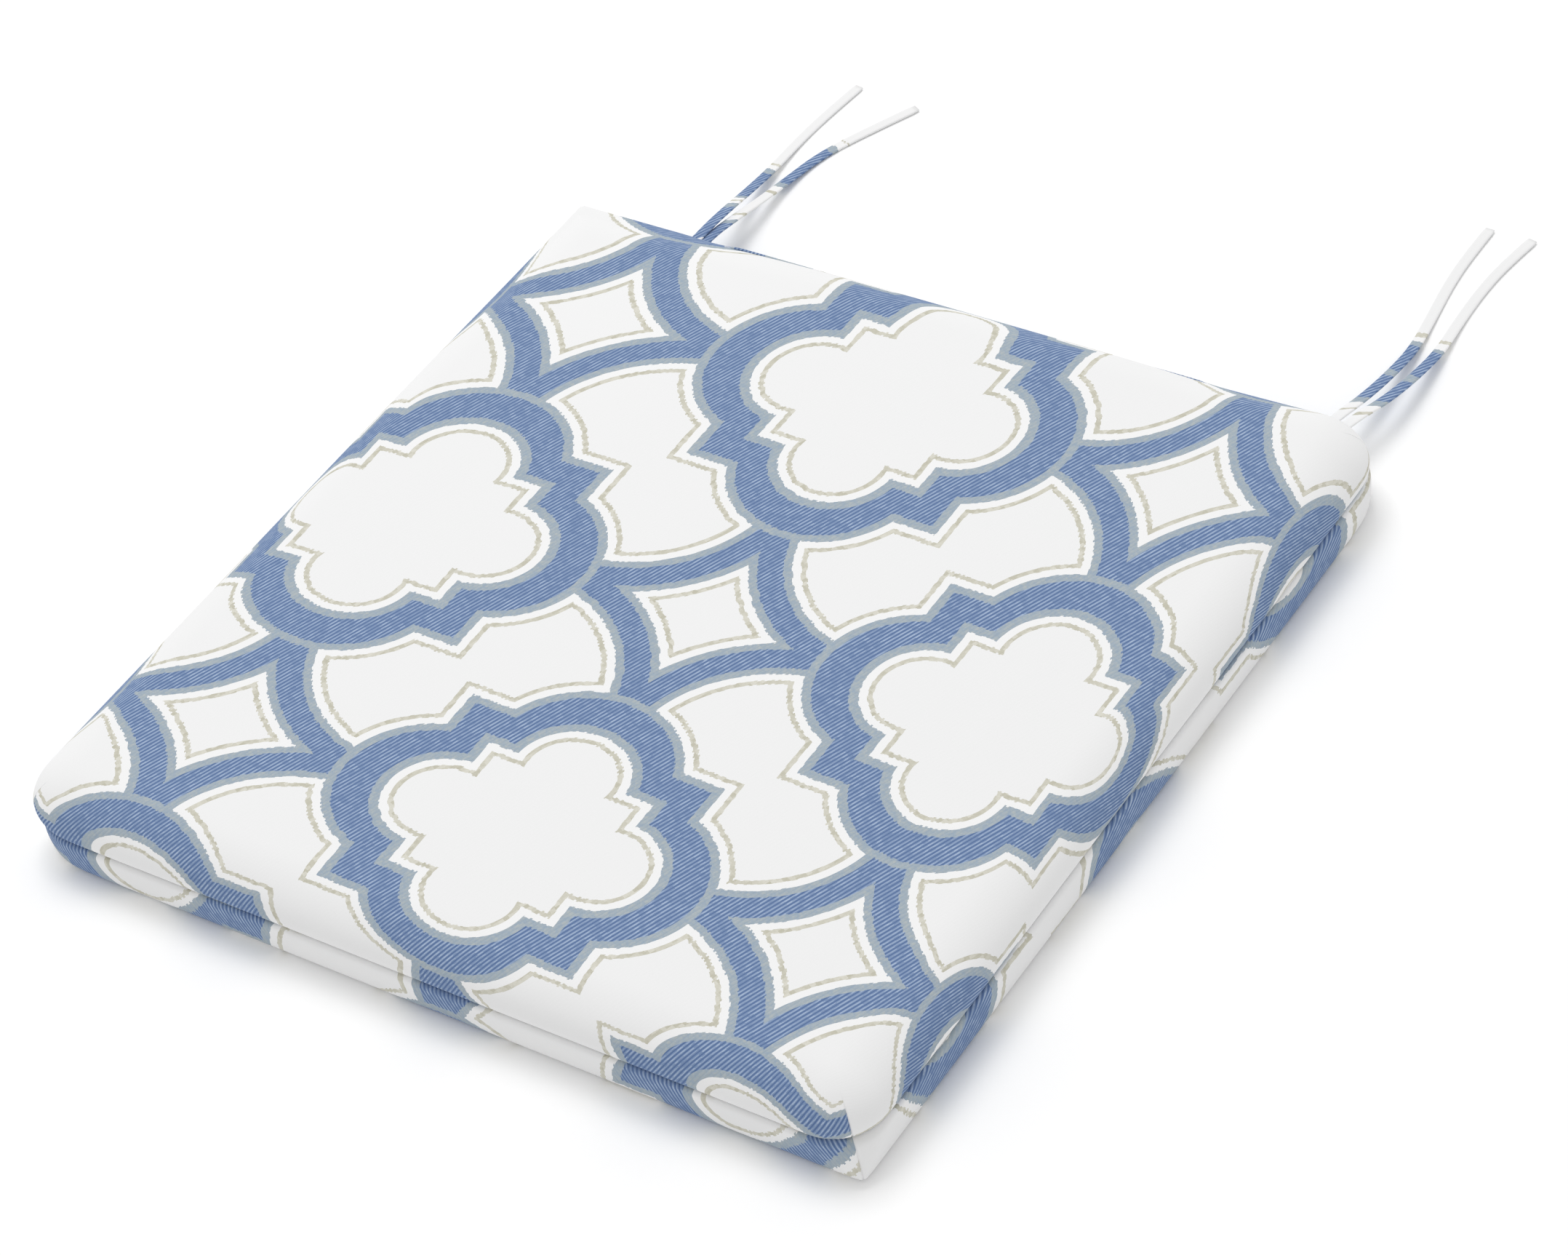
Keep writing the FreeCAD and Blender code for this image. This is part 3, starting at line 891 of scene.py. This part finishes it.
def build_foam():
    """A slab with a soft top edge, slumped with the cover, as a stack of rounded square outlines."""
    levels = [(0.0, 0.0), (0.5, 0.0), (0.94, 0.0), (0.985, 0.8), (1.0, 4.0), (1.0, 9.4)]
    outline = [(FOAM_HALF_MM * share, FOAM_BASE_MM + rise) for share, rise in levels]
    for n in range(10):
        turn = math.pi / 2 * (1 - n / 9)
        rise = FOAM_TOP_MM - SEAM_Z_MM
        half = FOAM_HALF_MM - FOAM_EDGE_MM * (1 - math.sin(turn))
        outline.append((half, SEAM_Z_MM + rise * math.cos(turn)))
    outline += [(FOAM_HALF_MM * 0.55, FOAM_TOP_MM + 0.4), (0.0, FOAM_TOP_MM + 0.8)]
    sides = 40
    points, loops = [], []
    for half, z in outline:
        if half == 0.0:
            points.append(settled(0.0, 0.0, z))
            continue
        radius = max(FOAM_CORNER_MM - (FOAM_HALF_MM - half), 0.0)
        for quarter in range(4):
            turned = quarter * math.pi / 2
            for n in range(sides):
                across = (n / sides) * 2 - 1
                reach = abs(across) * (half - CORNER_SHORTCUT * radius)
                minor, major = ring_point(reach, half, radius)
                a, b = math.copysign(minor, across), -major
                x = a * math.cos(turned) - b * math.sin(turned)
                y = a * math.sin(turned) + b * math.cos(turned)
                points.append(settled(x, y, z))
    around = sides * 4
    rings = len(outline) - 2
    for n in range(around):
        after = (n + 1) % around
        loops.append([0, 1 + after, 1 + n])
        for k in range(rings - 1):
            low, high = 1 + k * around, 1 + (k + 1) * around
            loops.append([low + n, low + after, high + after, high + n])
        top = 1 + (rings - 1) * around
        loops.append([top + n, top + after, len(points) - 1])
    piece = new_piece("foam_slab", points, loops, make_foam_material(), MM)
    piece.data.validate()
    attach(piece, "pad")
    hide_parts("foam_core")


build_foam()

# -------------------- thread


def make_thread_material(name, groove_shade, crest_highlight):
    material, tree, shader = new_material(name)
    x, y, z = object_fields(tree)
    twist = (x + y * 0.7 + z * 1.3).wave(0.42)
    # painted highlight and painted shade: the twist's crests lighter and its grooves darker, over a little
    # random tone
    colour = mix(tree, twist * 0.6 + noise(x, y, 0.8) * 0.4, groove_shade, crest_highlight)
    tree.links.new(colour, shader.inputs["Base Color"])
    shader.inputs["Roughness"].default_value = 0.55
    shader.inputs["Sheen Weight"].default_value = 0.1
    bump(tree, shader, twist, 0.00006)
    return material


thread_material = make_thread_material("white_polyester_thread", "d8dade", "f4f4f2")


def tube(line, radius, sides, points, loops):
    """Adds a round closed-ended tube along a list of points in millimetres."""
    base = len(points)
    for n, here in enumerate(line):
        ahead = (line[min(n + 1, len(line) - 1)] - line[max(n - 1, 0)]).normalized()
        across = ahead.orthogonal().normalized()
        beside = ahead.cross(across)
        at_end = n in (0, len(line) - 1) and len(line) < 8
        r = radius * (0.35 if at_end else 1.0)
        for k in range(sides):
            turn = 2 * math.pi * k / sides
            points.append(here + across * (r * math.cos(turn)) + beside * (r * math.sin(turn)))
    for n in range(len(line) - 1):
        for k in range(sides):
            k2 = (k + 1) % sides
            low, high = base + n * sides, base + (n + 1) * sides
            loops.append([low + k, low + k2, high + k2, high + k])
    loops.append([base + k for k in range(sides)][::-1])
    loops.append([base + (len(line) - 1) * sides + k for k in range(sides)])


THREAD_RADIUS_MM = 0.2
THREAD_SIDES = 6


def thread_piece(name, node, runs, material=thread_material, radius=THREAD_RADIUS_MM):
    """A piece made of round strands that stands for a CAD node of the pad."""
    points, loops = [], []
    for line in runs:
        tube(line, radius, THREAD_SIDES, points, loops)
    piece = new_piece(name, points, loops, material, MM)
    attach(piece, "pad")
    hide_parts(node)


def stitches(line, pitch, stitch, lift):
    """Short arched stitches along a line: each dips into the cloth at its ends."""
    steps = [0.0]
    for a, b in zip(line, line[1:]):
        steps.append(steps[-1] + (b - a).length)
    xs, ys, zs = (np.array([p[n] for p in line]) for n in range(3))

    def at(s):
        return Vector(tuple(float(np.interp(s, steps, c)) for c in (xs, ys, zs)))

    runs = []
    for n in range(int(steps[-1] / pitch)):
        start = n * pitch + (pitch - stitch) / 2
        run = []
        for k in range(5):
            share = k / 4
            arch = lift * (math.sin(share * math.pi) - 0.6)
            point = at(start + stitch * share)
            run.append(outward(point, arch))
        runs.append(run)
    return runs


SIDE_DEPTH_MM = 32.0


def outward(point, distance):
    """A point moved away from the pad's middle, along the nearest side."""
    inner = HALF_MM - SIDE_DEPTH_MM
    nearest_x, nearest_y = (min(max(c, -inner), inner) for c in (point.x, point.y))
    away = Vector((point.x - nearest_x, point.y - nearest_y, 0.0))
    return point + away.normalized() * distance if away.length else point


def seam_line(inset):
    """The seam, round the pad, that far in from the edge of the cloth."""
    line = []
    for cell in rim(RINGS) + [(-RINGS, -RINGS)]:
        upper = Vector(top_panel.points[top_panel.index[cell]])
        lower = Vector(bottom_panel.points[bottom_panel.index[cell]])
        line.append(outward((upper + lower) / 2, -inset))
    return line


def build_stitches():
    """The lockstitch in the seam, the darts' stitches and the two rows along the zip."""
    whole = seam_line(2.0)
    closed = [p for p in whole if p.y < 150 or abs(p.x) > ZIP_HALF_MM + 3.0]
    gap = next(n for n in range(len(closed) - 1) if (closed[n + 1] - closed[n]).length > 100)
    runs = stitches(closed[:gap + 1], 3.0, 2.3, 0.25) + stitches(closed[gap + 1:], 3.0, 2.3, 0.25)
    thread_piece("seam_stitches", "seam_thread", runs)
    darts = []
    for panel in (top_panel, bottom_panel):
        for a, b in ((-1, -1), (1, -1), (1, 1), (-1, 1)):
            steps = range(panel.dart + 1, RINGS)
            line = [Vector(panel.points[panel.index[a * k, b * k]]) for k in steps]
            darts += stitches([outward(p, -0.9) for p in line], 2.6, 2.0, 0.2)
    thread_piece("dart_stitches", "corner_dart_thread", darts)
    edging = []
    for panel in (top_panel, bottom_panel):
        line = []
        for i in range(-RINGS, RINGS + 1):
            first = Vector(panel.points[panel.index[i, RINGS - 2]])
            second = Vector(panel.points[panel.index[i, RINGS - 3]])
            point = (first + second) / 2
            if abs(point.x) < ZIP_HALF_MM:
                line.append(outward(point, 0.12))
        edging += stitches(line, 3.2, 2.5, 0.22)
    thread_piece("zip_topstitching", "zip_thread", edging)


build_stitches()

# -------------------- zip

COIL_PITCH_MM = 1.45
COIL_WIRE_MM = 0.27
COIL_STEPS = 12
COIL_ROOT_MM, COIL_OVERLAP_MM = 2.7, 0.12
COIL_HALF_DEPTH_MM = 0.42
COIL_END_MM = 0.4


def make_coil_material():
    material, tree, shader = new_material("white_nylon_coil")
    x, _, z = object_fields(tree)
    cloud = noise(x, z, 0.5)
    tree.links.new(mix(tree, cloud, "e2e3e2", "f1f1ee"), shader.inputs["Base Color"])
    shader.inputs["Roughness"].default_value = 0.35
    shader.inputs["Subsurface Weight"].default_value = 0.08
    shader.inputs["Subsurface Radius"].default_value = (0.001, 0.001, 0.001)
    bump(tree, shader, cloud, 0.00003)
    return material


def make_tape_material():
    """Zip tape: a fine herringbone weave, whose ribs lean one way and then the other, painted lighter on the
    ribs and darker between them as light and shade.
    """
    material, tree, shader = new_material("white_zip_tape")
    x, _, z = object_fields(tree)
    lean = abs((z / 1.6) - (z / 1.6).floor() - 0.5)
    rib = (x + lean * 1.6).wave(0.55)
    weft = z.wave(0.4)
    fuzz = noise(x, z, 2.0)
    shade = rib * 0.5 + weft * 0.2 + fuzz * 0.3
    # painted light and shade: ribs and weft lighter where they stand up, darker between them, with random
    # fuzz
    tree.links.new(mix(tree, shade, "c9ccce", "eeeeec"), shader.inputs["Base Color"])
    rough = fuzz * 0.1 + 0.78
    feed(tree, shader.inputs["Roughness"], rough)
    bump(tree, shader, shade, 0.00012)
    return material


def make_metal_material():
    """Nickel plate with fine brushed streaks and rubbed patches."""
    material, tree, shader = new_material("nickel_plate")
    x, _, z = object_fields(tree)
    streak = noise(x * 0.25, z * 4.0, 1.5, 3.0)
    patch = noise(x, z, 0.35, 3.0, 4.0)
    tree.links.new(mix(tree, patch * 0.6 + streak * 0.4, "a9adb1", "d3d5d6"), shader.inputs["Base Color"])
    shader.inputs["Metallic"].default_value = 1.0
    rough = streak * 0.14 + patch * 0.12 + 0.20
    feed(tree, shader.inputs["Roughness"], rough)
    bump(tree, shader, streak, 0.00003)
    return material


def coil_line(side):
    """One row of the zip's coil: a flattened helix whose heads reach just past the middle."""
    low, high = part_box("zip_coil_upper" if side > 0 else "zip_coil_lower")
    middle_y = (low.y + high.y) / 2 / MM
    start, end = low.x / MM + COIL_END_MM, high.x / MM - COIL_END_MM
    root = SEAM_Z_MM + side * COIL_ROOT_MM
    head = SEAM_Z_MM - side * COIL_OVERLAP_MM
    turns = int((end - start) / COIL_PITCH_MM) - 1
    line = []
    for n in range(turns * COIL_STEPS + 1):
        turn = 2 * math.pi * n / COIL_STEPS
        share = (1 + math.cos(turn)) / 2
        x = start + COIL_PITCH_MM * (n / COIL_STEPS + (0.5 if side > 0 else 0.0))
        y = middle_y + COIL_HALF_DEPTH_MM * math.sin(turn)
        line.append(Vector((x, y, root + (head - root) * share)))
    return line


coil_material = make_coil_material()
for side, node in ((1, "zip_coil_upper"), (-1, "zip_coil_lower")):
    thread_piece(
        node + "_teeth", node, [coil_line(side)],
        material=coil_material, radius=COIL_WIRE_MM,
    )

tape_material = make_tape_material()
metal_material = make_metal_material()
CARRIED = {
    "zip_tape_upper": tape_material, "zip_tape_lower": tape_material,
    "zip_top_stops": metal_material, "zip_bottom_stop": metal_material,
    "zip_slider": metal_material, "zip_pull_tab": metal_material,
    "tie_bartacks_left": thread_material, "tie_bartacks_right": thread_material,
}
for node, material in CARRIED.items():
    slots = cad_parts[node].data.materials
    slots.clear()
    slots.append(material)

# -------------------- ties

TIE_WIDTH = 0.005
TIE_THICKNESS = 0.001
TIE_ROUNDING = 0.00035
TIE_DIP = 0.00004
TIE_END_SQUEEZE = 0.86
ROOT_Z = 0.0185
FLOOR_Z = 0.0008

# The CAD solids' routes, in metres. The last point of each left tie is about 2 mm further out.
TIE_ROUTES = {
    "tie_left_outer": [
        (-0.143, 0.195, ROOT_Z), (-0.143, 0.212, ROOT_Z), (-0.146, 0.232, 0.0135), (-0.1495, 0.253, 0.007),
        (-0.152, 0.274, 0.0022), (-0.153, 0.296, FLOOR_Z), (-0.1515, 0.318, FLOOR_Z),
        (-0.1483, 0.341, FLOOR_Z),
    ],
    "tie_left_inner": [
        (-0.1385, 0.195, ROOT_Z), (-0.1395, 0.209, 0.0175), (-0.1405, 0.229, 0.0122), (-0.141, 0.250, 0.0065),
        (-0.141, 0.271, 0.002), (-0.138, 0.291, FLOOR_Z), (-0.129, 0.311, FLOOR_Z),
        (-0.1147, 0.3372, FLOOR_Z),
    ],
    "tie_right_inner": [
        (0.168, 0.195, ROOT_Z), (0.170, 0.210, 0.0165), (0.1718, 0.231, 0.0115), (0.1718, 0.253, 0.0065),
        (0.1705, 0.274, 0.002), (0.167, 0.296, FLOOR_Z), (0.164, 0.317, FLOOR_Z),
        (0.163, 0.336, FLOOR_Z), (0.1635, 0.355, FLOOR_Z),
    ],
    "tie_right_outer": [
        (0.1745, 0.195, ROOT_Z), (0.1762, 0.210, 0.0165), (0.1812, 0.232, 0.0122), (0.1825, 0.255, 0.0075),
        (0.1815, 0.276, 0.0026), (0.179, 0.297, FLOOR_Z), (0.1785, 0.318, FLOOR_Z),
        (0.180, 0.337, FLOOR_Z), (0.1835, 0.355, FLOOR_Z),
    ],
}

# The strip of print that each tie was cut from: the cloth's colour from each point on, in
# millimetres from the root
TIE_BANDS = {
    "tie_left_outer": "gap 0 blue 9 grey 39 gap 43 beige 46 gap 47.5 grey 50 blue 52 grey 76 gap 80 "
                      "beige 83 ground 84.5",
    "tie_left_inner": "blue 0 grey 28 gap 32 beige 37 ground 39.5 beige 62 gap 64.5 grey 69 blue 73 "
                      "grey 103 gap 107 beige 111 ground 112.5",
    "tie_right_inner": "gap 0 beige 22 gap 24 grey 29 blue 34 grey 55 blue 60 grey 81 gap 84 beige 87 "
                       "ground 90",
    "tie_right_outer": "gap 0 beige 21 gap 24 grey 29 blue 34 grey 53 blue 58 grey 79 gap 82 beige 86 "
                       "ground 88.5",
}
CLOTH_CODES = {"ground": 0.0, "gap": 0.2, "beige": 0.4, "grey": 0.6, "blue": 0.8}
BAND_SPAN_MM = 200.0
SLANT, SLANT_REACH_MM = 1.5, 60.0


def make_tie_material(name):
    material, tree, shader = new_material(name + "_cotton")
    u, v = uv_fields(tree)
    ru, rv = ragged(u, v)
    # the bands lie slanted near the pad and square across further out
    slant = (1.0 - rv / SLANT_REACH_MM).high(0.0).low(1.0) * SLANT
    place = (rv - ru * slant) / BAND_SPAN_MM
    ramp = tree.nodes.new("ShaderNodeValToRGB")
    ramp.color_ramp.interpolation = "CONSTANT"
    stops = ramp.color_ramp.elements
    words = TIE_BANDS[name].split()
    kinds, starts = words[::2], words[1::2]
    while len(stops) < len(kinds):
        stops.new(0.5)
    for stop, kind, start in zip(stops, kinds, starts):
        stop.position = float(start) / BAND_SPAN_MM
        stop.color = (CLOTH_CODES[kind],) * 3 + (1.0,)
    tree.links.new(place.socket, ramp.inputs[0])
    split = tree.nodes.new("ShaderNodeSeparateColor")
    tree.links.new(ramp.outputs["Color"], split.inputs[0])
    code = Field(tree, split.outputs[0])
    blue = code.above(0.7)
    grey = code.above(0.5)
    beige = code.above(0.3) * (1.0 - grey)
    gap = code.above(0.1) * (1.0 - beige) * (1.0 - grey)
    cloth, relief, fine = cloth_colour(tree, u, v, blue, grey, beige, gap)
    finish_cloth(tree, shader, cloth, relief, fine, grey)
    return material


def spline_points(name, route):
    """The tie's centreline: a NURBS curve on the route's points."""
    data = bpy.data.curves.new(name + "_line", "CURVE")
    data.dimensions = "3D"
    data.resolution_u = 14
    spline = data.splines.new("NURBS")
    spline.points.add(len(route) - 1)
    for point, (x, y, z) in zip(spline.points, route):
        point.co = (x, y, z, 1.0)
    spline.order_u = 3
    spline.use_endpoint_u = True
    line = bpy.data.objects.new(name + "_line", data)
    mesh = bpy.data.meshes.new_from_object(line)
    points = [v.co.copy() for v in mesh.vertices]
    bpy.data.meshes.remove(mesh)
    bpy.data.objects.remove(line)
    bpy.data.curves.remove(data)
    return points


def tie_section():
    """The folded strap's cross-section: flat, with rounded edges and a slight dip along its middle."""
    w, t = TIE_WIDTH / 2, TIE_THICKNESS / 2
    e = TIE_ROUNDING
    under = [(-w + e * 0.5, -t + e * 0.4), (-w + e * 1.6, -t), (-w / 3, -t)]
    over = [(w - e * 0.5, t - e * 0.4), (w - e * 1.6, t), (w / 3, t)]
    return (
        [(-w, 0)] + under + [(-a, b) for a, b in reversed(under)]
        + [(w, 0)] + over + [(0, t - TIE_DIP)] + [(-a, b) for a, b in reversed(over)]
    )


def build_tie(name, route):
    """A tie's strap: its section swept along the centreline, with places on the cut as UVs."""
    line = spline_points(name, route)
    section = tie_section()
    count = len(section)
    points, loops, cuts = [], [], []
    travelled = 0.0
    rows = []
    for n, here in enumerate(line):
        before, after = line[max(n - 1, 0)], line[min(n + 1, len(line) - 1)]
        ahead = (after - before).normalized()
        side = Vector((ahead.y, -ahead.x, 0)).normalized()
        up = side.cross(ahead).normalized()
        if n:
            travelled += (here - line[n - 1]).length
        rows.append(travelled)
        to_end = min(n, len(line) - 1 - n)
        squeeze = 1.0 if to_end else TIE_END_SQUEEZE
        for a, b in section:
            points.append(here + side * (a * squeeze) + up * (b * squeeze))
    for n in range(len(line) - 1):
        near, far = rows[n] / MM, rows[n + 1] / MM
        for m in range(count):
            m2 = (m + 1) % count
            loops.append([n * count + m, n * count + m2, (n + 1) * count + m2, (n + 1) * count + m])
            a, b = section[m][0] / MM, section[m2][0] / MM
            cuts.append([(a, near), (b, near), (b, far), (a, far)])
    for start, order, end in ((0, -1, 0.0), ((len(line) - 1) * count, 1, rows[-1] / MM)):
        ring = [start + m for m in range(count)][::order]
        loops.append(ring)
        cuts.append([(section[m - start][0] / MM, end) for m in ring])
    piece = new_piece(name + "_strap", points, loops, make_tie_material(name), cuts=cuts)
    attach(piece, "pad")
    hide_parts(name)


for name, route in TIE_ROUTES.items():
    build_tie(name, route)

# -------------------- stage and light

FLOOR_SIZE = 14.0
FLOOR_COLOUR = (0.985, 0.985, 0.985, 1)
WORLD_STRENGTH = 0.73
KEY_SIZE, KEY_WATTS = 2.5, 90.0
KEY_PLACE = (-1.6, 1.44, 4.16)


def make_stage():
    s = FLOOR_SIZE / 2
    material, _, shader = new_material("pale_floor")
    shader.inputs["Base Color"].default_value = FLOOR_COLOUR
    shader.inputs["Roughness"].default_value = 0.9
    shader.inputs["Specular IOR Level"].default_value = 0.1
    outline = [(-s, -s, 0), (s, -s, 0), (s, s, 0), (-s, s, 0)]
    new_piece("floor", outline, [(0, 1, 2, 3)], material)


def make_lights():
    world = bpy.data.worlds.new("world")
    bpy.context.scene.world = world
    world.use_nodes = True
    background = world.node_tree.nodes["Background"]
    background.inputs["Color"].default_value = (1, 1, 1, 1)
    background.inputs["Strength"].default_value = WORLD_STRENGTH
    key = bpy.data.lights.new("key", "AREA")
    key.shape = "SQUARE"
    key.size = KEY_SIZE
    key.energy = KEY_WATTS
    lamp = bpy.data.objects.new("key", key)
    lamp.location = KEY_PLACE
    aim = Vector((0, 0, 0)) - Vector(lamp.location)
    lamp.rotation_mode = "QUATERNION"
    lamp.rotation_quaternion = aim.to_track_quat("-Z", "Y")
    bpy.context.scene.collection.objects.link(lamp)
    bpy.context.scene.view_settings.view_transform = "Standard"


make_stage()
make_lights()
